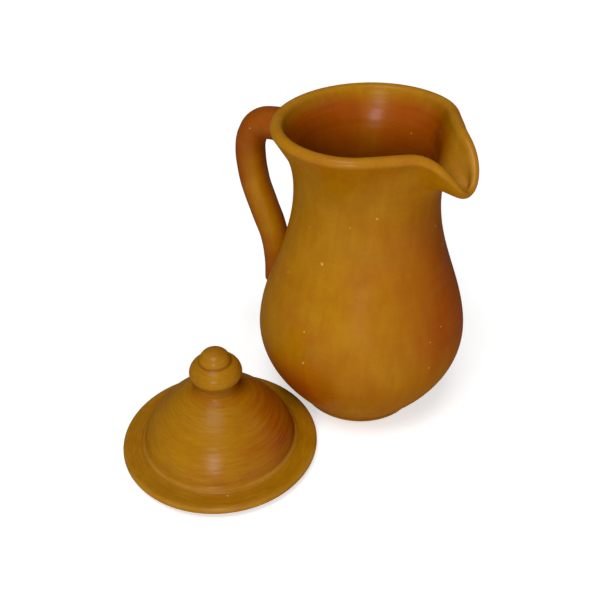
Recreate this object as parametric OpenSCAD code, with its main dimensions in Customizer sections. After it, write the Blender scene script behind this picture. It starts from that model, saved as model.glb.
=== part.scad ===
// Wheel-thrown clay jug with a pulled spout and a rolled handle.
// Its domed lid lies on the table beside it, as it does while the jug is in use.
// Origin at the centre of the jug's foot, +Z up, +X along the spout. Millimetres.

/* [Jug] */
// Height of the rim above the table
jug_h = 210; // [195:1:225]
// Diameter of the flat foot
foot_d = 83; // [76:1:90]
// Height of the foot ring's upright edge
foot_h = 4; // [3:0.5:6]
// Diameter of the belly
belly_d = 141; // [134:1:148]
// Height of the belly's widest point
belly_z = 60; // [54:1:66]
// Diameter of the neck
neck_d = 93; // [88:1:98]
// Height of the neck's narrowest point
neck_z = 163; // [158:1:165]
// Outer diameter of the rolled rim
rim_d = 119.2; // [116:0.2:123]
// Thickness of the rolled rim
rim_t = 8.4; // [7.6:0.2:9]
// Thickness of the thrown wall
wall = 6.5; // [5.5:0.1:7.5]

/* [Spout] */
// How far the spout is pulled out past the rim
spout_out = 18.2; // [12:0.1:20]
// How far the tip of the spout droops
spout_drop = 22.3; // [14:0.1:25]
// Half the width of the pull, in degrees round the rim
spout_half = 18.2; // [15:0.1:22]
// Half the width of the droop, in degrees round the rim
drop_half = 13.5; // [11:0.1:17]
// How much thinner the clay is drawn at the spout's lip, as a share of the rim
spout_thin = 0.5; // [0:0.05:0.6]
// How far the rim is pinched in on each side of the spout
pinch = 2.7; // [0:0.1:5]
// Direction of each pinch, in degrees from the spout
pinch_at = 45.9; // [40:0.1:52]
// Half the width of each pinch, in degrees
pinch_half = 16.2; // [12:0.1:22]
// Height at which the pull begins
pull_z = 165; // [163:1:175]
// How far the hand-worked rim is out of round
rim_oval = 2.4; // [0:0.1:3]
// How far the rim leans to the right of the spout
rim_lean = 1.4; // [0:0.1:3]

/* [Handle] */
// Direction of the handle, in degrees round from the spout
handle_at = 195; // [180:1:200]
// Thickness of the clay roll that the handle is bent from
handle_d = 19.5; // [18:0.5:22]
// Reach of the roll's centre line from the jug's axis
handle_reach = 83.1; // [80:0.1:88]
// Height of the roll's centre line where it leaves the neck
handle_top = 193.5; // [190:0.1:196]

/* [Lid] */
// Diameter of the brim
lid_d = 129.6; // [124:0.2:136]
// Thickness of the brim
brim_t = 4.7; // [4:0.1:6]
// Depth of the ring that drops into the mouth
seat_h = 5; // [4:0.5:8]
// Outer diameter of the ring that drops into the mouth
seat_d = 90; // [84:0.5:91]
// Diameter of the dome at the ridge round its foot
dome_d = 100; // [94:0.5:106]
// Height of the dome's top above the table
dome_z = 52; // [46:0.5:58]
// Diameter of the knob's bulb
bulb_d = 33.8; // [28:0.2:38]
// Diameter of the button on top of the knob
button_d = 20.2; // [16:0.2:23]
// Height of the lid's top above the table
lid_h = 82.8; // [80:0.1:90]
// Where the lid lies, along the spout's direction
lid_x = -31; // [-35:0.5:-25]
// Where the lid lies, to the left of the spout
lid_y = -110.5; // [-125:0.5:-108]

/* [Hidden] */
clay = [0.66, 0.42, 0.13];
dark_clay = [0.58, 0.34, 0.09];
round_fn = 180;
join_z = 158;               // the turned lower jug ends here and the hand-worked neck goes on
lap = 4;                    // how far the neck reaches down into the lower jug's wall
lap_gap = 0.15;             // how far inside the wall's faces the neck stays over the lap
lip_from = 184;             // the lip begins to turn square to its line here
lip_to = 203;               // and is square to it from here up
lip_r = rim_t / 2;
foot_r = foot_d / 2;
seat_r = seat_d / 2;

// Height fraction s, from 0 to 1, at which a height z lies between two levels.
function part_of(z, low, high) = min(1, max(0, (z - low) / (high - low)));

// Outer radius of the round jug at height z: foot to belly, belly to neck, neck to rim.
function belly_curve(s) = foot_r + (belly_d / 2 - foot_r) * sin(90 * pow(s, 0.93));
function shoulder_curve(s) = neck_d / 2 + (belly_d - neck_d) / 2 * (1 + cos(180 * pow(s, 0.9))) / 2;
function flare_curve(s) = neck_d / 2 + (rim_d - neck_d) / 2 * pow(s, 2.2);
function jug_r(z) =
    z < belly_z ? belly_curve(part_of(z, foot_h, belly_z)) :
    z < neck_z ? shoulder_curve(part_of(z, belly_z, neck_z)) :
    flare_curve(part_of(z, neck_z, jug_h - lip_r));

// Point on the inner face, one wall thickness square to the outer face at height z.
function slope(z) = (jug_r(z + 0.5) - jug_r(z - 0.5));
function inner_point(z) =
    let (n = 1 / sqrt(1 + pow(slope(z), 2)))
    [jug_r(z) - wall * n, z + wall * n * slope(z)];

// ---- Lower jug: foot, belly and shoulder, one turned shell ----
outer_zs = [for (i = [0:37]) foot_h + (join_z - foot_h) * i / 37];
inner_zs = [for (i = [0:33]) join_z - (join_z - foot_h - 1) * i / 33];
floor_z = inner_point(foot_h + 1)[1];
lower_jug = concat(
    [[0, 0], [foot_r - 1.2, 0], [foot_r - 0.3, 0.5], [foot_r, 1.4], [foot_r, foot_h - 0.8],
     [foot_r - 0.6, foot_h - 0.2]],
    [for (z = outer_zs) if (z > foot_h) [jug_r(z), z]],
    [[jug_r(join_z) - wall, join_z]],
    [for (z = inner_zs) if (z < join_z - 1) inner_point(z)],
    [[foot_r * 0.7, floor_z - 0.8], [0, floor_z - 1.2]]);

// ---- Neck, rim and spout: a lofted ring, pulled and pinched by hand ----
// The closed outline of its wall before the pull: up the outside, over the lip, down the inside.
neck_outline = concat(
    [[jug_r(join_z - lap) - 3 * lap_gap, join_z - lap], [jug_r(join_z) - lap_gap, join_z]],
    [for (i = [1:12]) let (z = join_z + (jug_h - lip_r - join_z) * i / 12) [jug_r(z), z]],
    [for (a = [30:30:150]) [rim_d / 2 - lip_r + lip_r * cos(a), jug_h - lip_r + lip_r * sin(a)]],
    [for (i = [0:9]) let (z = jug_h - lip_r - (jug_h - lip_r - join_z) * i / 10)
        [jug_r(z) - wall - (rim_t - wall) * pow(part_of(z, neck_z, jug_h - lip_r), 2), z]],
    [[jug_r(join_z) - wall + lap_gap, join_z], [jug_r(join_z - lap) - wall + 3 * lap_gap, join_z - lap]]);

// How hard the hand pulls: nothing at pull_z, all at the rim.
function pull(z) = pow(part_of(z, pull_z, jug_h), 2);
function bump(a, half, power) = exp(-pow(abs(a) / half, power));
function turn(a) = a > 180 ? a - 360 : a;
function out_by(a) =
    spout_out * bump(a, spout_half, 2.7)
    - pinch * bump(abs(a) - pinch_at, pinch_half, 2)
    - rim_lean * sin(a) - rim_oval * cos(2 * a);
function drop_by(a) = spout_drop * bump(a, drop_half, 2.2);

// The middle of the rolled lip, and the two directions square to its line there.
function rim_line(a) =
    let (r = rim_d / 2 - lip_r + out_by(a))
    [r * cos(a), r * sin(a), jug_h - lip_r - drop_by(a)];
function unit(v) = v / norm(v);
function onward(a) = unit(rim_line(a + 0.5) - rim_line(a - 0.5));
function upward(a) = unit([0, 0, 1] - onward(a) * onward(a)[2]);

// Where a point of the round jug goes when the rim is pulled. The lip stays square to its line.
function eased(s) = s * s * (3 - 2 * s);
function pulled(p, a) =
    let (r = p[0] + pull(p[1]) * out_by(a),
         stretched = [r * cos(a), r * sin(a), p[1] - pull(p[1]) * drop_by(a)],
         thick = 1 - spout_thin * bump(a, 1.3 * drop_half, 2),
         rolled = rim_line(a) + thick * (p[0] - rim_d / 2 + lip_r) * cross(onward(a), upward(a))
             + thick * (p[1] - jug_h + lip_r) * upward(a))
    stretched + (rolled - stretched) * eased(part_of(p[1], lip_from, lip_to));

// Directions round the rim, closer together at the spout.
rim_steps = 96;
rim_angles = [for (i = [0:rim_steps - 1]) let (a = 360 * i / rim_steps) turn(a - 30 * sin(a))];

// A tube closed on itself, from rings of points that all have the same count.
module ring_loft(rings) {
    m = len(rings);
    n = len(rings[0]);
    function at(i, j) = (i % m) * n + j % n;
    polyhedron([for (ring = rings) each ring],
        [for (i = [0:m - 1], j = [0:n - 1]) each
            [[at(i, j), at(i, j + 1), at(i + 1, j + 1)], [at(i, j), at(i + 1, j + 1), at(i + 1, j)]]]);
}

module jug_body() {
    color(clay) {
        rotate_extrude($fn = round_fn) polygon(lower_jug);
        ring_loft([for (a = rim_angles) [for (p = neck_outline) pulled(p, a)]]);
    }
}

// ---- Handle: one roll of clay, bent over and pressed on at both ends ----
// Centre line, as distance from the jug's axis and height, chosen by hand.
handle_line = [
    [46, handle_top - 3.5], [60, handle_top], [73.5, handle_top - 1.6], [handle_reach - 2.3, 183.8],
    [handle_reach, 171], [handle_reach - 2.6, 151], [74, 132], [67.3, 113.5], [65.8, 96], [67.3, 79]];
handle_steps = 4;
handle_sides = 18;

function spline_point(p, q, r, s, t) =
    (2 * q + (r - p) * t + (2 * p - 5 * q + 4 * r - s) * t * t
     + (3 * q - p - 3 * r + s) * t * t * t) / 2;
function spline(pts, steps) =
    let (m = len(pts) - 1,
         all = concat([2 * pts[0] - pts[1]], pts, [2 * pts[m] - pts[m - 1]]))
    concat([for (i = [1:m], k = [0:steps - 1])
        spline_point(all[i - 1], all[i], all[i + 1], all[i + 2], k / steps)], [pts[m]]);

// Half thickness of the roll, square to the jug and along it, at t from root to tail.
function root_swell(t) = max(0, 1 - t / 0.28);
function tail_press(t) = pow(max(0, (t - 0.72) / 0.28), 1.5);
function half_deep(t) = handle_d / 2 * (1 + 0.16 * root_swell(t)) * (1 - 0.48 * tail_press(t));
function half_wide(t) = handle_d / 2 * (1.06 + 0.2 * root_swell(t)) * (1 - 0.1 * tail_press(t));

function handle_ring(path, i) =
    let (last = len(path) - 1, t = i / last,
         d = path[min(i + 1, last)] - path[max(i - 1, 0)],
         n = [-d[1], d[0]] / norm(d))
    [for (k = [0:handle_sides - 1]) let (a = -360 * k / handle_sides,
        p = path[i] + n * half_deep(t) * cos(a)) [p[0], half_wide(t) * sin(a), p[1]]];

module swept(rings) {
    m = len(rings);
    n = len(rings[0]);
    polyhedron([for (ring = rings) each ring],
        concat(
            [for (i = [0:m - 2], j = [0:n - 1]) let (k = (j + 1) % n) each
                [[i * n + j, i * n + k, (i + 1) * n + k], [i * n + j, (i + 1) * n + k, (i + 1) * n + j]]],
            [[for (j = [n - 1:-1:0]) j]], [[for (j = [0:n - 1]) (m - 1) * n + j]]));
}

// The jug's wall up to the middle of its thickness: the handle's ends are luted into it.
luting_zs = [for (i = [0:24]) 40 + (jug_h - lip_r - 40) * i / 24];
luting_core = concat([[0, 40]], [for (z = luting_zs) [jug_r(z) - wall / 2, z]],
    [[rim_d / 2 - lip_r, jug_h + 5], [0, jug_h + 5]]);

module jug_handle() {
    path = spline(handle_line, handle_steps);
    color(dark_clay)
    rotate([0, 0, handle_at])
    difference() {
        swept([for (i = [0:len(path) - 1]) handle_ring(path, i)]);
        rotate_extrude($fn = round_fn) polygon(luting_core);
    }
}

// ---- Lid: a turned dome on a flat brim, hollow below, with a ring that locates it ----
brim_z = seat_h + brim_t;
ridge_z = brim_z + 2.4;
dome_foot_z = ridge_z + 1.1;
knob_neck_r = 14;
knob_z = dome_z + 2.5;
dome_r0 = dome_d / 2 - 0.5;
dome_steps = 20;
function dome_r(s) = knob_neck_r + (dome_r0 - knob_neck_r) * pow(1 - pow(s, 1.47), 0.745);
function dome_point(s) = [dome_r(s), dome_foot_z + (dome_z - dome_foot_z) * s];
// Point on the hollow's face, one wall thickness square to the dome's outer face.
function hollow_point(s) =
    let (d = dome_point(s + 0.01) - dome_point(s - 0.01))
    dome_point(s) + wall * [-d[1], d[0]] / norm(d);
lid_outline = concat(
    [[seat_r - 4, 0.4], [seat_r - 3.4, 0], [seat_r - 0.8, 0], [seat_r, 0.8], [seat_r + 0.3, seat_h],
     [lid_d / 2 - 1.4, seat_h], [lid_d / 2 - 0.3, seat_h + 0.6], [lid_d / 2, seat_h + 1.7],
     [lid_d / 2, brim_z - 2], [lid_d / 2 - 0.6, brim_z - 0.8], [lid_d / 2 - 2, brim_z - 0.1],
     [lid_d / 2 - 4, brim_z + 0.1], [dome_d / 2 + 5, brim_z + 0.3], [dome_d / 2 + 2.4, brim_z + 0.8],
     [dome_d / 2 + 1.5, brim_z + 1.4], [dome_d / 2 + 0.9, ridge_z - 0.1], [dome_d / 2, ridge_z + 0.4]],
    [for (i = [0:dome_steps]) dome_point(0.95 * (1 - pow(1 - i / dome_steps, 2)))],
    [[knob_neck_r + 3.2, dome_z - 1], [knob_neck_r + 1.4, dome_z], [knob_neck_r + 0.3, dome_z + 1.1],
     [knob_neck_r - 0.4, knob_z]],
    [[0, knob_z], [0, dome_z - wall], [knob_neck_r / 2, dome_z - wall]],
    [for (i = [dome_steps - 3:-1:0]) hollow_point(0.02 + 0.96 * (1 - pow(1 - i / dome_steps, 2)))]);

module lid_cover() {
    color(clay)
    translate([lid_x, lid_y, 0])
    rotate_extrude($fn = round_fn) polygon(lid_outline);
}

// ---- Knob: a bulb with a button on top, turned and luted on the dome ----
bulb_z = dome_z + 13.5;
button_z = bulb_z + 9;
knob_outline = concat(
    [[0, knob_z], [knob_neck_r - 0.6, knob_z], [knob_neck_r - 1.2, knob_z + 1.4],
     [knob_neck_r - 1.8, knob_z + 3.2]],
    [for (a = [-45:9:-9]) [bulb_d / 2 * cos(a), bulb_z + 8 * sin(a)]],
    [for (a = [0:10:50]) [bulb_d / 2 * pow(cos(a), 0.8), bulb_z + 10.5 * sin(a)]],
    [[button_d / 2 - 0.2, button_z]],
    [for (a = [10:10:80]) [button_d / 2 * pow(cos(a), 0.9), button_z + (lid_h - button_z) * sin(a)]],
    [[0, lid_h]]);

module lid_knob() {
    color(clay)
    translate([lid_x, lid_y, 0])
    rotate_extrude($fn = round_fn) polygon(knob_outline);
}

jug_body();
jug_handle();
lid_cover();
lid_knob();
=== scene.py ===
import math

import bmesh
import bpy
import numpy as np
from mathutils import Matrix, Vector


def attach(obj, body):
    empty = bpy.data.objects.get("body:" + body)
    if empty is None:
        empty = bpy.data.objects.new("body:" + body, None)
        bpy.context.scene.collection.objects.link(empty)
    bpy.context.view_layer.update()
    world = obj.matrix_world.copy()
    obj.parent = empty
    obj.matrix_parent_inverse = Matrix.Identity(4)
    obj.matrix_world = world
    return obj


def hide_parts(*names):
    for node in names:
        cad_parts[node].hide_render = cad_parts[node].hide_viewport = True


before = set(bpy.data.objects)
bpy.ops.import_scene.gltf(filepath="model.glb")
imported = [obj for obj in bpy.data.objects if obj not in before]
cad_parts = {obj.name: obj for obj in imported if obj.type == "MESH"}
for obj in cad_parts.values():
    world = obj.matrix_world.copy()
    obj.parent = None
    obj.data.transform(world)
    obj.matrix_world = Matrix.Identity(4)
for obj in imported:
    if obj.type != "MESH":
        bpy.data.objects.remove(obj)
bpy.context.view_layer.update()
scene = bpy.context.scene

# ==== Camera ====
# The photographer stands on the spout's side and looks down on the jug and its lid,
# from about 60 cm away.
MM = 0.001
EYE = Vector((280.65, -387.4, 415.69)) * MM
HEADING = math.radians(131.0)
LOOK_DOWN = math.radians(35.478)
ROLL = math.radians(-0.093)

forward = Vector((math.cos(HEADING) * math.cos(LOOK_DOWN), math.sin(HEADING) * math.cos(LOOK_DOWN),
                  -math.sin(LOOK_DOWN)))
level = Vector((math.sin(HEADING), -math.cos(HEADING), 0))
upright = level.cross(forward)
right = level * math.cos(ROLL) + upright * math.sin(ROLL)
up = upright * math.cos(ROLL) - level * math.sin(ROLL)

camera = bpy.data.objects.new("camera", bpy.data.cameras.new("camera"))
camera.data.lens = 51.09
camera.data.sensor_width = 36.0
camera.data.clip_start = 0.01
camera.matrix_world = Matrix((
    (right.x, up.x, -forward.x, EYE.x),
    (right.y, up.y, -forward.y, EYE.y),
    (right.z, up.z, -forward.z, EYE.z),
    (0, 0, 0, 1)))
scene.collection.objects.link(camera)
scene.camera = camera

# ==== Jug body ====
# Thrown on the wheel from one lump of earthenware and turned at the foot. While the clay was
# soft the rim was pinched and pulled into a spout by hand. Rubbed smooth, fired, never glazed.
# Sizes are in mm from here on. The table is at height 0, and the spout points along x.
JUG_H = 210.0
FOOT_R, FOOT_H = 41.5, 4.0
BELLY_R, BELLY_Z = 70.4, 60.0
NECK_R, NECK_Z = 46.5, 163.0
RIM_R, RIM_T = 59.6, 8.4
LIP_R = RIM_T / 2
WALL = 6.5
# How far the tip is pulled out and down, and how far round, in degrees, each pull reaches.
SPOUT_OUT, SPOUT_HALF, SPOUT_POWER = 18.2, 18.2, 2.7
DROP, DROP_HALF, DROP_POWER = 22.3, 13.5, 2.2
SPOUT_THIN = 0.5
# Two fingers pinch the rim in, one on each side of the spout.
PINCH, PINCH_AT, PINCH_HALF = 2.7, 45.9, 16.2
# The wall gives way above the first height, and the lip turns with its line between the other two.
PULL_Z = 165.0
LIP_FROM, LIP_TO = 184.0, 203.0
# The hand leaves the rim slightly oval and to one side.
RIM_OVAL, RIM_LEAN = 2.4, 1.4


def part_of(z, low, high):
    return np.clip((z - low) / (high - low), 0, 1)


def jug_r(z):
    """Outer radius of the round jug, in mm: foot to belly, belly to neck, neck to rim."""
    z = np.asarray(z, float)
    belly = FOOT_R + (BELLY_R - FOOT_R) * np.sin(math.pi / 2 * part_of(z, FOOT_H, BELLY_Z) ** 0.93)
    swell = 1 + np.cos(math.pi * part_of(z, BELLY_Z, NECK_Z) ** 0.9)
    shoulder = NECK_R + (BELLY_R - NECK_R) * swell / 2
    flare = NECK_R + (RIM_R - NECK_R) * part_of(z, NECK_Z, JUG_H - LIP_R) ** 2.2
    return np.where(z < BELLY_Z, belly, np.where(z < NECK_Z, shoulder, flare))


def bump(a, half, power):
    return np.exp(-(np.abs(a) / half) ** power)


def rim_out(a):
    """How far the hand moves the rim outward, in mm, in the direction a in degrees from the spout."""
    a = (np.asarray(a, float) + 180) % 360 - 180
    return (SPOUT_OUT * bump(a, SPOUT_HALF, SPOUT_POWER) - PINCH * bump(np.abs(a) - PINCH_AT, PINCH_HALF, 2)
            - RIM_LEAN * np.sin(np.radians(a)) - RIM_OVAL * np.cos(np.radians(2 * a)))


def pull(z):
    return part_of(z, PULL_Z, JUG_H) ** 2


def drop(a):
    return DROP * bump(a, DROP_HALF, DROP_POWER)


def unit(v):
    return v / np.linalg.norm(v, axis=-1, keepdims=True)


def rim_line(a):
    """The middle of the rolled lip, in the direction a in degrees."""
    r, turn = RIM_R - LIP_R + rim_out(a), np.radians(a)
    return np.stack([r * np.cos(turn), r * np.sin(turn), JUG_H - LIP_R - drop(a)], -1)


def pulled(r, z, a):
    """Where a point of the round jug goes when the rim is pulled. The lip stays square to its line."""
    turn = np.radians(a)
    pulled_r = r + pull(z) * rim_out(a)
    stretched = np.stack([pulled_r * np.cos(turn), pulled_r * np.sin(turn), z - pull(z) * drop(a)], -1)
    onward = unit(rim_line(a + 0.5) - rim_line(a - 0.5))
    upward = unit(np.array([0, 0, 1.0]) - onward * onward[..., 2:])
    outward = np.cross(onward, upward)
    thick = 1 - SPOUT_THIN * bump(a, 1.3 * DROP_HALF, 2)
    rolled = (rim_line(a) + (thick * (r - RIM_R + LIP_R))[..., None] * outward
              + (thick * (z - JUG_H + LIP_R))[..., None] * upward)
    share = part_of(z, LIP_FROM, LIP_TO)[..., None]
    share = share * share * (3 - 2 * share)
    return stretched + (rolled - stretched) * share


def even_steps(points, step):
    """The same outline with points every step mm."""
    points = np.asarray(points, float)
    run = np.concatenate([[0], np.cumsum(np.hypot(*np.diff(points, axis=0).T))])
    at = np.linspace(0, run[-1], int(run[-1] / step) + 1)
    return np.stack([np.interp(at, run, points[:, 0]), np.interp(at, run, points[:, 1])], 1)


def softened(points, step, spread):
    """An outline whose corners are rounded as wet fingers round them, over about spread mm."""
    fine = even_steps(points, step)
    reach = int(3 * spread / step)
    weight = np.exp(-0.5 * (np.arange(-reach, reach + 1) * step / spread) ** 2)
    weight /= weight.sum()
    head = 2 * fine[0] - fine[reach:0:-1]
    tail = 2 * fine[-1] - fine[-2:-reach - 2:-1]
    long = np.concatenate([head, fine, tail])
    return np.stack([np.convolve(long[:, k], weight, "valid") for k in (0, 1)], 1)


def outline_normals(points):
    along = np.gradient(points, axis=0)
    along /= np.maximum(np.hypot(along[:, 0], along[:, 1]), 1e-9)[:, None]
    return np.stack([along[:, 1], -along[:, 0]], 1)


def edge_masks(points, step):
    """Where an outline is a sharp ridge, which hands wear pale, and where it turns sharply inward, painted
    dark as shade.
    """
    along = np.gradient(points, axis=0)
    heading = np.unwrap(np.arctan2(along[:, 1], along[:, 0]))
    bend = np.gradient(heading) / step
    return np.clip(bend / 0.45, 0, 1), np.clip(-bend / 0.3, 0, 1)


def turning_marks(along, a, pitch, depth):
    """Ridges of the potter's fingers or tool, in mm, along the outline and round it."""
    drift = 0.7 * np.sin(a + 0.4) + 0.3 * np.sin(2 * a + 2.0)
    turns = 2 * math.pi * along / pitch
    fade = 0.6 + 0.4 * np.sin(turns / 11 + 1.0)
    return depth * fade * (0.5 * np.sin(turns + drift) + 0.3 * np.sin(2.7 * turns + 1.3 * drift + 1)
                           + 0.2 * np.sin(0.53 * turns - drift + 2))


def clay_piece(name, rings, wear_and_light, crease_shade, red_and_shade, material, body, node):
    """A closed skin over rings of points in mm; both end rings close on a point at their middle."""
    count, sides = rings.shape[:2]
    ends = [rings[0].mean(0), rings[-1].mean(0)]
    points = np.concatenate([rings.reshape(-1, 3), ends]) * MM
    i, j = np.meshgrid(np.arange(count - 1), np.arange(sides), indexing="ij")
    a, b = i * sides + j, i * sides + (j + 1) % sides
    faces = np.stack([a, b, b + sides, a + sides], -1).reshape(-1, 4).tolist()
    first, last = count * sides, count * sides + 1
    for k in range(sides):
        step_on = (k + 1) % sides
        faces.append([first, step_on, k])
        faces.append([last, (count - 1) * sides + k, (count - 1) * sides + step_on])
    mesh = bpy.data.meshes.new(name)
    mesh.from_pydata(points.tolist(), [], faces)
    for label, mask in (("wear_and_light", wear_and_light), ("crease_shade", crease_shade), ("red_and_shade", red_and_shade)):
        values = np.concatenate([np.broadcast_to(mask, (count, sides)).ravel(), [0, 0]])
        mesh.attributes.new(label, "FLOAT", "POINT").data.foreach_set("value", values)
    mesh.polygons.foreach_set("use_smooth", np.ones(len(mesh.polygons), bool))
    work = bmesh.new()
    work.from_mesh(mesh)
    bmesh.ops.remove_doubles(work, verts=work.verts, dist=1e-6)
    bmesh.ops.recalc_face_normals(work, faces=work.faces)
    work.to_mesh(mesh)
    work.free()
    mesh.materials.append(material)
    piece = bpy.data.objects.new(name, mesh)
    scene.collection.objects.link(piece)
    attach(piece, body)
    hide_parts(node)


def new_group(name, inputs, outputs):
    """A shader node group with its named inputs and outputs."""
    tree = bpy.data.node_groups.new(name, "ShaderNodeTree")
    for label, kind, value in inputs:
        socket = tree.interface.new_socket(label, in_out="INPUT", socket_type="NodeSocket" + kind)
        if value is not None:
            socket.default_value = value
    for label, kind in outputs:
        tree.interface.new_socket(label, in_out="OUTPUT", socket_type="NodeSocket" + kind)
    return tree, tree.nodes.new("NodeGroupInput").outputs, tree.nodes.new("NodeGroupOutput").inputs


def add(tree, kind, links=None, values=None, **settings):
    """A node with its settings, its constant inputs and its linked inputs."""
    made = tree.nodes.new("ShaderNode" + kind)
    for key, value in settings.items():
        setattr(made, key, value)
    for key, value in (values or {}).items():
        made.inputs[key].default_value = value
    for key, source in (links or {}).items():
        tree.links.new(source, made.inputs[key])
    return made


def math_node(tree, operation, first, second, clamp=False):
    made = tree.nodes.new("ShaderNodeMath")
    made.operation, made.use_clamp = operation, clamp
    for socket, value in zip(made.inputs, (first, second)):
        if isinstance(value, (int, float)):
            socket.default_value = value
        else:
            tree.links.new(value, socket)
    return made.outputs[0]


def between(tree, value, low, high, to_low=0.0, to_high=1.0):
    """The value's place between two levels, eased at both ends."""
    made = add(tree, "MapRange", {"Value": value},
               {"From Min": low, "From Max": high, "To Min": to_low, "To Max": to_high},
               interpolation_type="SMOOTHSTEP")
    return made.outputs["Result"]


def blend(tree, factor, first, second, how="MIX"):
    made = tree.nodes.new("ShaderNodeMix")
    made.data_type, made.blend_type = "RGBA", how
    for socket, value in ((made.inputs[0], factor), (made.inputs[6], first), (made.inputs[7], second)):
        if isinstance(value, (int, float, tuple)):
            socket.default_value = value
        else:
            tree.links.new(value, socket)
    return made.outputs[2]


def wheel_grain():
    """Bands left round the piece by the turning wheel, out of place and along its outline."""
    tree, given, out = new_group(
        "wheel grain",
        [("Position", "Vector", None), ("Along", "Float", 0.0), ("Fineness", "Float", 300.0),
         ("Sweep", "Float", 9.0)],
        [("Bands", "Float"), ("Strokes", "Float")])
    split = add(tree, "SeparateXYZ", {"Vector": given["Position"]})
    x = math_node(tree, "MULTIPLY", split.outputs["X"], given["Sweep"])
    y = math_node(tree, "MULTIPLY", split.outputs["Y"], given["Sweep"])
    run = math_node(tree, "MULTIPLY", given["Along"], given["Fineness"])
    bands = add(tree, "CombineXYZ", {"X": x, "Y": y, "Z": run})
    wide = add(tree, "TexNoise", {"Vector": bands.outputs[0]},
               {"Scale": 1.0, "Detail": 3.0, "Roughness": 0.62})
    fine_run = math_node(tree, "MULTIPLY", run, 3.7)
    fine = add(tree, "CombineXYZ", {
        "X": math_node(tree, "MULTIPLY", x, 4.0), "Y": math_node(tree, "MULTIPLY", y, 4.0), "Z": fine_run})
    thin = add(tree, "TexNoise", {"Vector": fine.outputs[0]},
               {"Scale": 1.0, "Detail": 2.0, "Roughness": 0.5})
    tree.links.new(between(tree, wide.outputs[0], 0.3, 0.7), out["Bands"])
    tree.links.new(between(tree, thin.outputs[0], 0.3, 0.7), out["Strokes"])
    return tree


def lime_grains():
    """A few pale grains of lime in the clay, each well under a millimetre across."""
    tree, given, out = new_group(
        "lime grains",
        [("Position", "Vector", None), ("Spacing", "Float", 110.0), ("Share", "Float", 0.2)],
        [("Grains", "Float")])
    cells = add(tree, "TexVoronoi", {"Vector": given["Position"], "Scale": given["Spacing"]},
                {"Randomness": 1.0})
    near = between(tree, cells.outputs["Distance"], 0.03, 0.075, 1.0, 0.0)
    pick = add(tree, "SeparateColor", {"Color": cells.outputs["Color"]})
    chosen = math_node(tree, "LESS_THAN", pick.outputs[0], given["Share"])
    tree.links.new(math_node(tree, "MULTIPLY", near, chosen), out["Grains"])
    return tree


def kiln_tone_and_shade():
    """Clouds of ochre and redder clay from uneven firing, made redder by painted shade and bounce light."""
    tree, given, out = new_group(
        "kiln tone and shade",
        [("Position", "Vector", None), ("Ochre", "Color", (0.4, 0.17, 0.01, 1)),
         ("Red", "Color", (0.3, 0.09, 0.005, 1)), ("Red and shade", "Float", 0.0)],
        [("Color", "Color")])
    clouds = add(tree, "TexNoise", {"Vector": given["Position"]},
                 {"Scale": 17.0, "Detail": 3.0, "Roughness": 0.5, "Distortion": 0.4})
    patch = between(tree, clouds.outputs[0], 0.38, 0.7, -0.08, 0.3)
    share = math_node(tree, "ADD", patch, given["Red and shade"], clamp=True)
    tree.links.new(blend(tree, share, given["Ochre"], given["Red"]), out["Color"])
    return tree


WHEEL_GRAIN, LIME_GRAINS, KILN_TONE_AND_SHADE = wheel_grain(), lime_grains(), kiln_tone_and_shade()


def in_material(tree, group, links, values=None):
    made = tree.nodes.new("ShaderNodeGroup")
    made.node_tree = group
    for key, source in links.items():
        tree.links.new(source, made.inputs[key])
    for key, value in (values or {}).items():
        made.inputs[key].default_value = value
    return made


# The pale colour is rubbed wear on sharp edges and painted light in the spout's channel and along the lid's
# ridge.
RUBBED_AND_LIT_CLAY, LIME = (0.52, 0.27, 0.045, 1), (0.68, 0.38, 0.09, 1)


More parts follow.
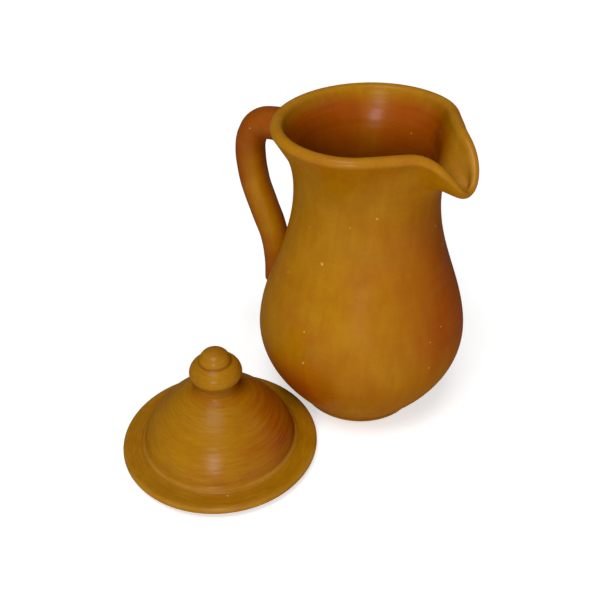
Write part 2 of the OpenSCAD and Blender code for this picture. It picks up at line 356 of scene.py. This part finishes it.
def fired_clay(name, axis, ochre, red, outward, bands, sweep, specks=()):
    """Burnished earthenware. outward tells how the wheel's bands climb: 0 by height, 1 also inwards.
    A greater sweep makes them shorter round the piece."""
    material = bpy.data.materials.new(name)
    material.use_nodes = True
    tree = material.node_tree
    surface = tree.nodes["Principled BSDF"]
    place = add(tree, "TexCoord").outputs["Object"]
    offset = add(tree, "VectorMath", {0: place}, operation="SUBTRACT")
    offset.inputs[1].default_value = axis
    split = add(tree, "SeparateXYZ", {"Vector": offset.outputs[0]})
    flat = add(tree, "CombineXYZ", {"X": split.outputs["X"], "Y": split.outputs["Y"]})
    reach = add(tree, "VectorMath", {0: flat.outputs[0]}, operation="LENGTH").outputs["Value"]
    along = math_node(tree, "SUBTRACT", split.outputs["Z"], math_node(tree, "MULTIPLY", reach, outward))

    # This attribute adds red that is mostly painted shade and red bounce light.
    red_and_shade = add(tree, "Attribute", attribute_name="red_and_shade").outputs["Fac"]
    tone = in_material(tree, KILN_TONE_AND_SHADE, {"Position": place, "Red and shade": red_and_shade},
                       {"Ochre": ochre, "Red": red})
    grain = in_material(tree, WHEEL_GRAIN, {"Position": place, "Along": along}, {"Sweep": sweep})
    pale = (ochre[0] * 1.25, ochre[1] * 1.35, ochre[2] * 2, 1)
    dark = tuple(c * 0.55 for c in red[:3]) + (1,)
    share = math_node(tree, "MULTIPLY", grain.outputs["Bands"], bands)
    colour = blend(tree, share, tone.outputs["Color"], pale)
    share = math_node(tree, "MULTIPLY", grain.outputs["Strokes"], bands * 0.6)
    colour = blend(tree, share, colour, dark)
    if outward == 0:
        # A pebble rubbed up and down the wall leaves long faint strokes.
        long_z = math_node(tree, "MULTIPLY", split.outputs["Z"], 0.14)
        upright = add(tree, "CombineXYZ", {"X": split.outputs["X"], "Y": split.outputs["Y"], "Z": long_z})
        pebble = add(tree, "TexNoise", {"Vector": upright.outputs[0]}, {"Scale": 190.0, "Detail": 3.0})
        colour = blend(tree, between(tree, pebble.outputs[0], 0.35, 0.65, 0.0, 0.13), colour, dark)
    cloudy = add(tree, "TexNoise", {"Vector": place}, {"Scale": 38.0, "Detail": 5.0, "Roughness": 0.6})
    colour = blend(tree, between(tree, cloudy.outputs[0], 0.45, 0.7, 0.0, 0.14), colour, dark)
    dust = add(tree, "TexNoise", {"Vector": place}, {"Scale": 900.0, "Detail": 2.0})
    colour = blend(tree, between(tree, dust.outputs[0], 0.35, 0.7, 0.0, 0.12), colour, dark)
    # Paler where hands rubbed the edges, and as painted light where this mask marks lit places.
    wear_and_light = add(tree, "Attribute", attribute_name="wear_and_light").outputs["Fac"]
    patchy = add(tree, "TexNoise", {"Vector": place}, {"Scale": 60.0, "Detail": 4.0})
    worn_and_lit = math_node(tree, "MULTIPLY", wear_and_light, between(tree, patchy.outputs[0], 0.35, 0.6, 0.15, 0.55))
    colour = blend(tree, worn_and_lit, colour, RUBBED_AND_LIT_CLAY)
    # Painted shade: creases are darkened towards the dark clay colour.
    crease_shade = add(tree, "Attribute", attribute_name="crease_shade").outputs["Fac"]
    colour = blend(tree, math_node(tree, "MULTIPLY", crease_shade, 0.3), colour, dark)
    grains = in_material(tree, LIME_GRAINS, {"Position": place}).outputs["Grains"]
    for x, y, z, size in specks:
        away = add(tree, "VectorMath", {0: place}, operation="DISTANCE")
        away.inputs[1].default_value = (x * MM, y * MM, z * MM)
        spot = between(tree, away.outputs["Value"], 0.4 * size * MM, size * MM, 1.0, 0.0)
        grains = math_node(tree, "MAXIMUM", grains, spot)
    colour = blend(tree, grains, colour, LIME)
    tree.links.new(colour, surface.inputs["Base Color"])

    rough = math_node(tree, "MULTIPLY_ADD", grain.outputs["Strokes"], 0.08)
    rough.node.inputs[2].default_value = 0.42
    tree.links.new(rough, surface.inputs["Roughness"])
    pits = add(tree, "TexNoise", {"Vector": place}, {"Scale": 1300.0, "Detail": 2.0})
    height = math_node(tree, "MULTIPLY", pits.outputs[0], 0.35)
    height = math_node(tree, "ADD", height, math_node(tree, "MULTIPLY", grain.outputs["Strokes"], 0.5))
    height = math_node(tree, "ADD", height, math_node(tree, "MULTIPLY", grains, 0.8))
    relief = add(tree, "Bump", {"Height": height}, {"Strength": 0.25, "Distance": 0.0002})
    tree.links.new(relief.outputs[0], surface.inputs["Normal"])
    surface.inputs["Specular IOR Level"].default_value = 0.0
    facing = add(tree, "LayerWeight", None, {"Blend": 0.5}).outputs["Facing"]
    smears = add(tree, "TexNoise", {"Vector": place}, {"Scale": 45.0, "Detail": 3.0})
    gloss = math_node(tree, "MULTIPLY", between(tree, facing, 0.1, 0.5, 0.085, 0.035),
                      between(tree, smears.outputs[0], 0.35, 0.65, 0.75, 1.1))
    tree.links.new(gloss, surface.inputs["Coat Weight"])
    surface.inputs["Coat IOR"].default_value = 1.9
    surface.inputs["Coat Roughness"].default_value = 0.26
    tree.links.new(relief.outputs[0], surface.inputs["Coat Normal"])
    return material


OUTLINE_STEP = 0.55
FLOOR_Z = 9.0
UNDER_LIP = 0.81 * RIM_T
# Fingers left a slow spiral inside, and the turning tool left finer rings outside.
FINGER_PITCH, FINGER_DEPTH = 6.5, 0.045
TOOL_PITCH, TOOL_DEPTH = 3.4, 0.022

outer_z = np.linspace(FOOT_H, JUG_H - LIP_R, 160)
inner_from = np.linspace(JUG_H - LIP_R, FOOT_H + 2, 150)
inner_slope = (jug_r(inner_from + 0.5) - jug_r(inner_from - 0.5))
square = 1 / np.sqrt(1 + inner_slope ** 2)
inner_wall = WALL + (UNDER_LIP - WALL) * part_of(inner_from, NECK_Z, JUG_H - LIP_R) ** 2
inner = np.stack([jug_r(inner_from) - inner_wall * square,
                  inner_from + inner_wall * square * inner_slope], 1)
lip_angles = np.radians(np.arange(15, 170, 15))
# The first points of the inner wall lie inside the rolled lip and are left out.
IN_LIP = 8
jug_outline = np.concatenate([
    [[0, 0.4], [FOOT_R - 3, 0.0], [FOOT_R - 1.2, 0.0], [FOOT_R, 1.4], [FOOT_R, FOOT_H - 0.8]],
    np.stack([jug_r(outer_z), outer_z], 1)[1:],
    np.stack([RIM_R - LIP_R + LIP_R * np.cos(lip_angles), JUG_H - LIP_R + LIP_R * np.sin(lip_angles)], 1),
    inner[IN_LIP:],
    [[FOOT_R * 0.66, FLOOR_Z], [0, FLOOR_Z - 0.6]]])
jug_profile = softened(jug_outline, OUTLINE_STEP, 0.9)
jug_normals = outline_normals(jug_profile)
jug_rub, jug_crease = edge_masks(jug_profile, OUTLINE_STEP)

# The sides stand closer together towards the spout.
JUG_SIDES = 288
even = np.linspace(0, 2 * math.pi, JUG_SIDES, endpoint=False)
jug_angles = even - math.radians(30) * np.sin(even)
run = np.arange(len(jug_profile))[:, None] * OUTLINE_STEP
inside = np.arange(len(jug_profile))[:, None] > np.argmax(jug_profile[:, 1])
spiral = run + FINGER_PITCH * jug_angles[None] / (2 * math.pi)
mark = np.where(inside, turning_marks(spiral, 0, FINGER_PITCH, FINGER_DEPTH),
                turning_marks(run, jug_angles[None], TOOL_PITCH, TOOL_DEPTH))
mark = mark * part_of(jug_profile[:, 0], 6, 20)[:, None]
r0 = jug_profile[:, 0, None] + jug_normals[:, 0, None] * mark
z0 = np.maximum(jug_profile[:, 1, None] + jug_normals[:, 1, None] * mark, 0)
degrees = (np.degrees(jug_angles)[None] + 180) % 360 - 180
jug_rings = pulled(r0, z0, np.broadcast_to(degrees, r0.shape))
jug_rings[0, :, :2] *= 0
jug_rings[-1, :, :2] *= 0

# The red is the clay's redder tone and also the colour that painted shade and bounce light take.
OCHRE, RED_CLAY_AND_SHADE = (0.43, 0.185, 0.002, 1), (0.36, 0.07, 0.001, 1)
# The largest grains of lime on the front: where each one is and its radius, all in mm.
LIME_SPECKS = ((5.4, -50.3, 132.5, 1.3), (32.4, -33.5, 166.9, 0.9), (-21.5, -51.4, 115.6, 0.8),
               (3.8, -65.1, 88.1, 0.8), (19.6, -42.2, 159.8, 0.6), (-7.6, -46.4, 151.9, 0.6),
               (6.9, -69.6, 67.4, 1.0), (68.2, -17.2, 63.6, 0.8))
jug_clay = fired_clay("jug clay", (0, 0, 0), OCHRE, RED_CLAY_AND_SHADE, outward=0.0, bands=0.05, sweep=9.0,
                      specks=LIME_SPECKS)


def around(degrees, height, at, at_height, half, half_height):
    """A soft patch on the wall, round a direction in degrees and a height in mm."""
    turned = (degrees - at + 180) % 360 - 180
    return bump(turned, half, 2) * bump(height - at_height, half_height, 2)


# Red is painted here as shade and as red light thrown back by the clay: on the flank turned away
# from the lamps, at the foot beside the lid, which shades it, and on the inside below the rim, where it
# is partly the clay's own redder tone. A patch low on the back is reddened too. The spout's inside and
# the back wall inside are kept ochre as painted light, where light falls on them; the rim stays ochre too.
steps_in = (np.maximum(0, np.arange(len(jug_profile)) - np.argmax(jug_profile[:, 1])) * OUTLINE_STEP)[:, None]
by_spout = bump(degrees, 34, 2) * (1 - part_of(steps_in, 25, 70))
outside = (0.6 * around(degrees, z0, 20, 90, 34, 34) + 0.75 * around(degrees, z0, 22, 100, 60, 75)
           + 0.9 * around(degrees, z0, -96, 40, 24, 22) + 0.6 * around(degrees, z0, 150, 55, 45, 30))
far_side = 0.4 * bump((degrees - 120 + 180) % 360 - 180, 25, 2) * (1 - part_of(steps_in, 25, 60))
jug_red_and_shade = np.where(inside, part_of(steps_in, 3, 15) - 0.85 * by_spout - far_side, outside)
# Painted light: the spout's channel, just inside the rim, is painted pale as if lit; sharp edges are pale
# from wear.
channel = bump(degrees, 15, 2) * np.where(inside, 1 - part_of(steps_in, 8, 26), 0)
jug_wear_and_light = np.maximum(0.35 * jug_rub[:, None], 1.5 * channel)
# Painted shade in the jug's creases, left out round the spout.
jug_crease_shade = jug_crease[:, None] * (1 - bump(degrees, 25, 2))
clay_piece("jug_wall", jug_rings, jug_wear_and_light, jug_crease_shade, jug_red_and_shade, jug_clay, "jug", "jug_body")

# ==== Handle ====
# A roll of the same clay, bent over and pressed on under the rim and on the belly. Its ends are
# smeared into the wall with a wet thumb, and its tail is flattened where it was pressed.
HANDLE_AT = math.radians(195.0)
HANDLE_D = 19.5
# The middle of the roll, as distance from the jug's axis and height.
HANDLE_LINE = np.array([
    [46, 190.0], [60, 193.5], [73.5, 191.9], [80.8, 183.8], [83.1, 171], [80.5, 151], [74.0, 132],
    [67.3, 113.5], [65.8, 96], [67.3, 79]], float)


def spline(points, steps):
    """A smooth curve through the points."""
    ends = [2 * points[0] - points[1]], [2 * points[-1] - points[-2]]
    p = np.concatenate([ends[0], points, ends[1]])
    t = np.linspace(0, 1, steps, endpoint=False)[None, :, None]
    a, b, c, d = (p[k:len(p) - 3 + k, None] for k in range(4))
    curve = (2 * b + (c - a) * t + (2 * a - 5 * b + 4 * c - d) * t ** 2
             + (3 * b - a - 3 * c + d) * t ** 3) / 2
    return np.concatenate([curve.reshape(-1, points.shape[1]), points[-1:]])


HANDLE_SIDES = 64
handle_path = spline(HANDLE_LINE, 20)
t = np.linspace(0, 1, len(handle_path))
root_swell = np.maximum(0, 1 - t / 0.28)
tail_press = np.maximum(0, (t - 0.72) / 0.28) ** 1.5
half_deep = HANDLE_D / 2 * (1 + 0.16 * root_swell) * (1 - 0.48 * tail_press)
half_wide = HANDLE_D / 2 * (1.06 + 0.2 * root_swell) * (1 - 0.1 * tail_press)
knead = 1 + 0.012 * np.sin(9 * t * math.pi + 0.6) + 0.008 * np.sin(23 * t * math.pi)
path_normal = outline_normals(handle_path) * -1
round_roll = np.linspace(0, 2 * math.pi, HANDLE_SIDES, endpoint=False)
deep = (half_deep * knead)[:, None] * np.cos(round_roll)
wide = (half_wide * (2 - knead))[:, None] * np.sin(round_roll)
reach = handle_path[:, 0, None] + path_normal[:, 0, None] * deep
height = handle_path[:, 1, None] + path_normal[:, 1, None] * deep


def over_wall(reach, wide, height):
    """How far a point of the roll is outside the jug's outer face, in mm, and its direction."""
    direction = np.degrees(HANDLE_AT + np.arctan2(wide, reach))
    return np.hypot(reach, wide) - jug_r(height) - pull(height) * rim_out(direction)


# The wet thumb spreads each end a little where it meets the wall.
smear = 1.6 * np.exp(-np.maximum(over_wall(reach, wide, height), 0) / 2.2)
deep = deep + smear * np.cos(round_roll)
wide = wide + smear * np.sin(round_roll)
reach = handle_path[:, 0, None] + path_normal[:, 0, None] * deep
height = handle_path[:, 1, None] + path_normal[:, 1, None] * deep
# Both ends stop in the middle of the wall.
LUTED = -WALL / 2
clear = over_wall(reach, wide, height)
middle = len(handle_path) // 2
for side in range(HANDLE_SIDES):
    for rows in (range(middle, -1, -1), range(middle, len(handle_path))):
        held = None
        for row in rows:
            if held is None and clear[row, side] < LUTED:
                before = rows[rows.index(row) - 1]
                share = (clear[before, side] - LUTED) / (clear[before, side] - clear[row, side])
                held = [line[before, side] + share * (line[row, side] - line[before, side])
                        for line in (reach, wide, height)]
            if held is not None:
                reach[row, side], wide[row, side], height[row, side] = held
handle_rings = np.stack([
    reach * math.cos(HANDLE_AT) - wide * math.sin(HANDLE_AT),
    reach * math.sin(HANDLE_AT) + wide * math.cos(HANDLE_AT), height], -1)
# It is painted red where it bends over and on the side towards the jug, where the red is painted shade,
# with an ochre stripe down the flank that faces the lamps, which is painted light.
stripe = part_of(t, 0.32, 0.5) * (1 - part_of(t, 0.75, 0.9))
handle_red_and_shade = 0.8 * (1 - stripe[:, None] * bump(np.degrees(round_roll) - 122, 40, 2))
HANDLE_OCHRE, HANDLE_RED = (0.4, 0.165, 0.002, 1), (0.28, 0.058, 0.001, 1)
handle_clay = fired_clay("handle clay", (0, 0, 0), HANDLE_OCHRE, HANDLE_RED, outward=0.0, bands=0.08,
                         sweep=9.0)
clay_piece("handle_roll", handle_rings, 0.0, 0.0, handle_red_and_shade, handle_clay, "jug", "jug_handle")

# ==== Lid ====
# Thrown upside down and turned: a flat brim that rests on the rim, a hollow dome, and a ring
# underneath that keeps it in the mouth. The turning tool left fine rings all over it.
LID_AT = (-31.0, -110.5)
LID_R, BRIM_T = 64.8, 4.7
SEAT_R, SEAT_H = 45.0, 5.0
DOME_R, DOME_Z = 50.0, 52.0
KNOB_NECK, KNOB_Z = 14.0, DOME_Z + 2.5
brim_z = SEAT_H + BRIM_T
ridge_z = brim_z + 2.4
LID_STEP = 0.4
LID_SIDES = 240
# The direction of the dome's flank that is painted red as shade and as red light thrown back by the jug,
# and how far it spreads, in degrees.
FLANK_AT, FLANK_SPREAD = 38, 48


def dome_point(s):
    foot_z = ridge_z + 1.1
    return np.array([KNOB_NECK + (DOME_R - 0.5 - KNOB_NECK) * (1 - s ** 1.47) ** 0.745,
                     foot_z + (DOME_Z - foot_z) * s])


def hollow_point(s):
    d = dome_point(s + 0.01) - dome_point(s - 0.01)
    return dome_point(s) + WALL * np.array([-d[1], d[0]]) / np.hypot(*d)


def turned_piece(name, outline, softness, step, sides, pitch, depth, material, node):
    """A piece turned on the wheel about the lid's axis, with the tool's rings on it."""
    profile = softened(outline, step, softness)
    normals = outline_normals(profile)
    wear_and_light, crease_shade = edge_masks(profile, step)
    a = np.linspace(0, 2 * math.pi, sides, endpoint=False)
    mark = turning_marks(np.arange(len(profile))[:, None] * step, a[None], pitch, depth)
    mark = mark * part_of(profile[:, 0], 2, 8)[:, None]
    r = np.maximum(profile[:, 0, None] + normals[:, 0, None] * mark, 0)
    z = np.maximum(profile[:, 1, None] + normals[:, 1, None] * mark, 0)
    rings = np.stack([LID_AT[0] + r * np.cos(a), LID_AT[1] + r * np.sin(a), z], -1)
    rings[0, :, :2] = rings[-1, :, :2] = LID_AT
    # Painted shade and red bounce light on the dome's flank towards the jug.
    flank = bump((np.degrees(a) - FLANK_AT + 180) % 360 - 180, FLANK_SPREAD, 2)[None]
    flank = flank * part_of(profile[:, 0, None], 10, 30)
    height = profile[:, 1, None]
    # Painted shade under the knob's bulb: the waist is painted red and kept from the pale wear.
    waist = part_of(height, DOME_Z - 4, DOME_Z + 1) * (1 - part_of(height, KNOB_Z + 3, KNOB_Z + 8))
    red_and_shade = flank * (profile[:, 0, None] < DOME_R) + 0.4 * waist
    # Painted highlight: a pale band along the ridge at the foot of the dome.
    ridge = 0.5 * bump(profile[:, 0, None] - DOME_R - 0.6, 1.6, 2) * (height > brim_z)
    wear_and_light = np.maximum(0.5 * wear_and_light[:, None] * (1 - waist), ridge)
    # Painted shade in the creases, darker on the knob than on the lid.
    crease_shade = crease_shade[:, None] * np.where(height > KNOB_Z, 1.8, 0.7)
    clay_piece(name, rings, wear_and_light, crease_shade, red_and_shade, material, "lid", node)


lid_outline = np.concatenate([
    [[0, DOME_Z - WALL], [KNOB_NECK / 2, DOME_Z - WALL]],
    [hollow_point(0.02 + 0.96 * (1 - (1 - k / 24) ** 2)) for k in range(21, -1, -1)],
    [[SEAT_R - 4, 0.4], [SEAT_R - 3.4, 0], [SEAT_R - 0.8, 0], [SEAT_R, 0.8], [SEAT_R + 0.3, SEAT_H],
     [LID_R - 1.4, SEAT_H], [LID_R - 0.3, SEAT_H + 0.6], [LID_R, SEAT_H + 1.7], [LID_R, brim_z - 2],
     [LID_R - 0.6, brim_z - 0.8], [LID_R - 2, brim_z - 0.1], [LID_R - 4, brim_z + 0.1],
     [DOME_R + 5, brim_z + 0.3], [DOME_R + 2.4, brim_z + 0.8], [DOME_R + 1.5, brim_z + 1.4],
     [DOME_R + 0.9, ridge_z - 0.1], [DOME_R, ridge_z + 0.4]],
    [dome_point(0.95 * (1 - (1 - k / 24) ** 2)) for k in range(25)],
    [[KNOB_NECK + 3.2, DOME_Z - 1], [KNOB_NECK + 1.4, DOME_Z], [KNOB_NECK + 0.3, DOME_Z + 1.1],
     [KNOB_NECK - 0.4, KNOB_Z], [0, KNOB_Z]]])
lid_axis = (LID_AT[0] * MM, LID_AT[1] * MM, 0.0)
LID_OCHRE, LID_RED = (0.375, 0.163, 0.002, 1), (0.33, 0.062, 0.001, 1)
lid_clay = fired_clay("lid clay", lid_axis, LID_OCHRE, LID_RED, outward=1.0, bands=0.4, sweep=30.0)
turned_piece("lid_dome", lid_outline, 0.65, LID_STEP, LID_SIDES, 3.1, 0.045, lid_clay, "lid_cover")

# ==== Knob ====
# Turned from a lump of the same clay, with a waist for the fingertips, a bulb and a small button.
# It is luted on top of the dome with slip and fired with it.
BULB_R, BULB_Z = 16.9, DOME_Z + 13.5
BUTTON_R, BUTTON_Z, LID_H = 10.1, BULB_Z + 9, 82.8
under_angles = np.radians(np.arange(-45, 0, 5))
bulb_angles = np.radians(np.arange(0, 51, 5))
button_angles = np.radians(np.arange(5, 90, 5))
knob_outline = np.concatenate([
    [[0, KNOB_Z - 1.5], [KNOB_NECK - 1.2, KNOB_Z - 1.5], [KNOB_NECK - 0.6, KNOB_Z],
     [KNOB_NECK - 1.2, KNOB_Z + 1.4], [KNOB_NECK - 1.8, KNOB_Z + 3.2]],
    np.stack([BULB_R * np.cos(under_angles), BULB_Z + 8 * np.sin(under_angles)], 1),
    np.stack([BULB_R * np.cos(bulb_angles) ** 0.8, BULB_Z + 10.5 * np.sin(bulb_angles)], 1),
    [[BUTTON_R - 0.2, BUTTON_Z]],
    np.stack([BUTTON_R * np.cos(button_angles) ** 0.9,
              BUTTON_Z + (LID_H - BUTTON_Z) * np.sin(button_angles)], 1),
    [[0, LID_H]]])
turned_piece("lid_knob_turned", knob_outline, 0.5, 0.3, 120, 2.2, 0.05, lid_clay, "lid_knob")

# ==== Table, lamps and surroundings ====
# A plain white table in a bright white room, lit by two soft windows on the camera's side. One is
# low and one is high.
TABLE_HALF = 6.0
TABLE_GLOW, TABLE_NEAR, TABLE_FAR = 0.56, 0.3, 1.8
ROOM_LIGHT = 0.08
WINDOW_AWAY = 3.2

table_mesh = bpy.data.meshes.new("table")
corners = [(x * TABLE_HALF, y * TABLE_HALF, 0) for x, y in ((-1, -1), (1, -1), (1, 1), (-1, 1))]
table_mesh.from_pydata(corners, [], [(0, 1, 2, 3)])
table = bpy.data.objects.new("table", table_mesh)
scene.collection.objects.link(table)
table_paint = bpy.data.materials.new("table paint")
table_paint.use_nodes = True
tree = table_paint.node_tree
surface = tree.nodes["Principled BSDF"]
surface.inputs["Base Color"].default_value = (0.8, 0.8, 0.8, 1)
surface.inputs["Roughness"].default_value = 0.9
surface.inputs["Specular IOR Level"].default_value = 0.1
surface.inputs["Emission Color"].default_value = (1, 1, 1, 1)
rays = add(tree, "LightPath").outputs
seen = math_node(tree, "MAXIMUM", rays["Is Camera Ray"],
                 math_node(tree, "MAXIMUM", rays["Is Glossy Ray"], rays["Is Transmission Ray"]))
# The windows fade with distance, so the far table is as white as the table by the jug.
away = add(tree, "VectorMath", {0: add(tree, "TexCoord").outputs["Object"]}, operation="LENGTH")
glow = between(tree, away.outputs["Value"], TABLE_NEAR, TABLE_FAR, TABLE_GLOW, 1.0)
tree.links.new(math_node(tree, "MULTIPLY", seen, glow), surface.inputs["Emission Strength"])
table_mesh.materials.append(table_paint)

world = bpy.data.worlds.new("white room")
world.use_nodes = True
scene.world = world
tree = world.node_tree
background = tree.nodes["Background"]
background.inputs["Color"].default_value = (1, 1, 1, 1)
rays = add(tree, "LightPath").outputs
seen = math_node(tree, "MAXIMUM", rays["Is Camera Ray"],
                 math_node(tree, "MAXIMUM", rays["Is Glossy Ray"], rays["Is Transmission Ray"]))
strength = math_node(tree, "MULTIPLY_ADD", seen, 1 - ROOM_LIGHT)
strength.node.inputs[2].default_value = ROOM_LIGHT
tree.links.new(strength, background.inputs["Strength"])


def window(name, direction, width, height, watts):
    """A soft lamp that faces the jug."""
    lamp = bpy.data.objects.new(name, bpy.data.lights.new(name, "AREA"))
    lamp.data.shape, lamp.data.size, lamp.data.size_y, lamp.data.energy = "RECTANGLE", width, height, watts
    way = Vector(direction).normalized()
    lamp.location = way * WINDOW_AWAY + Vector((0, 0, 0.1))
    lamp.rotation_euler = way.to_track_quat("Z", "Y").to_euler()
    scene.collection.objects.link(lamp)


window("front window", (0.5, -0.75, 0.3), 0.8, 0.9, 44.5)
window("high window", (0.15, -0.4, 1.0), 1.5, 1.5, 59.0)

scene.view_settings.view_transform = "Standard"
